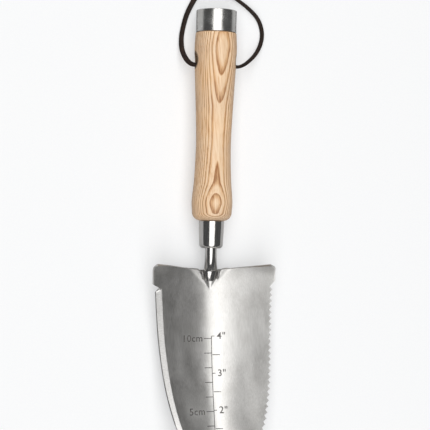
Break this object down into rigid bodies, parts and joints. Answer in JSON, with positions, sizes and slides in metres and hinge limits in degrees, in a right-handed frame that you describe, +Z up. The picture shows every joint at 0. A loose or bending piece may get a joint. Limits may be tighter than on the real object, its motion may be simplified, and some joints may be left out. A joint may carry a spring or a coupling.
{
  "type": "hand trowel",
  "caption": "Hand trowel: dished steel blade with a toothed edge, a ground edge and a depth scale, on a cranked tang in an ash grip with a steel end cap and a leather hanging lace.",
  "frame": {"origin": "on the table, under the middle of the tool's bounding box, the lace left out", "axes": "+Y from the blade's tip to the end cap, +X to the toothed edge's side, +Z up, hollow side of the blade up"},
  "size_m": [0.0842, 0.3702, 0.0302],
  "materials": {
    "blade_steel": "satin, brushed along its length",
    "polished_steel": "polished",
    "cap_steel": "turned, fine satin",
    "weld": "as welded, brushed",
    "ash": "oiled ash",
    "leather": "dark waxed leather",
    "resin": "cured resin"
  },
  "bodies": {
    "trowel": {"blade": "blade_steel", "tang": "polished_steel", "weld_bead_left": "weld", "weld_bead_right": "weld", "ferrule": "polished_steel", "grip": "ash", "end_cap": "cap_steel", "tang_resin": "resin", "cap_resin": "resin"},
    "lanyard": {"lace": "leather", "lace_knot": "leather", "lace_tail_left": "leather", "lace_tail_right": "leather"}
  },
  "joints": [
    {"name": "lanyard_swing", "type": "hinge", "parent": "trowel", "child": "lanyard", "pos_m": [-0.00209, 0.12564, 0.01449], "axis": [1, 0, 0], "range_deg": [0, 150]}
  ]
}
